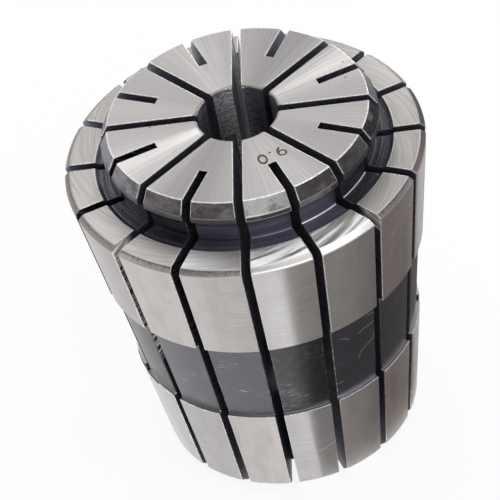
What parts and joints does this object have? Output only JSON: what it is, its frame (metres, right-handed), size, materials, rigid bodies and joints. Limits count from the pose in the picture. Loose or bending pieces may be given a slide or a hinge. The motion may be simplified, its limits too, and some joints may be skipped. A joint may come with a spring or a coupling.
{
  "type": "spring collet",
  "caption": "Slit steel spring collet with a nose, an extraction groove and a ground taper, which closes on a round tool shank.",
  "frame": {"origin": "centre of the rear face, on the axis", "axes": "+Z along the axis, from the rear face to the nose; a slot that is open at the nose lies on +X"},
  "size_m": [0.041, 0.041, 0.046],
  "materials": {
    "ground_steel": "hardened spring steel, ground bright on the taper's two bands, the shoulder and the nose face, left dark from hardening in the relief and the groove"
  },
  "bodies": {
    "root": {"collet": "ground_steel"}
  },
  "joints": []
}
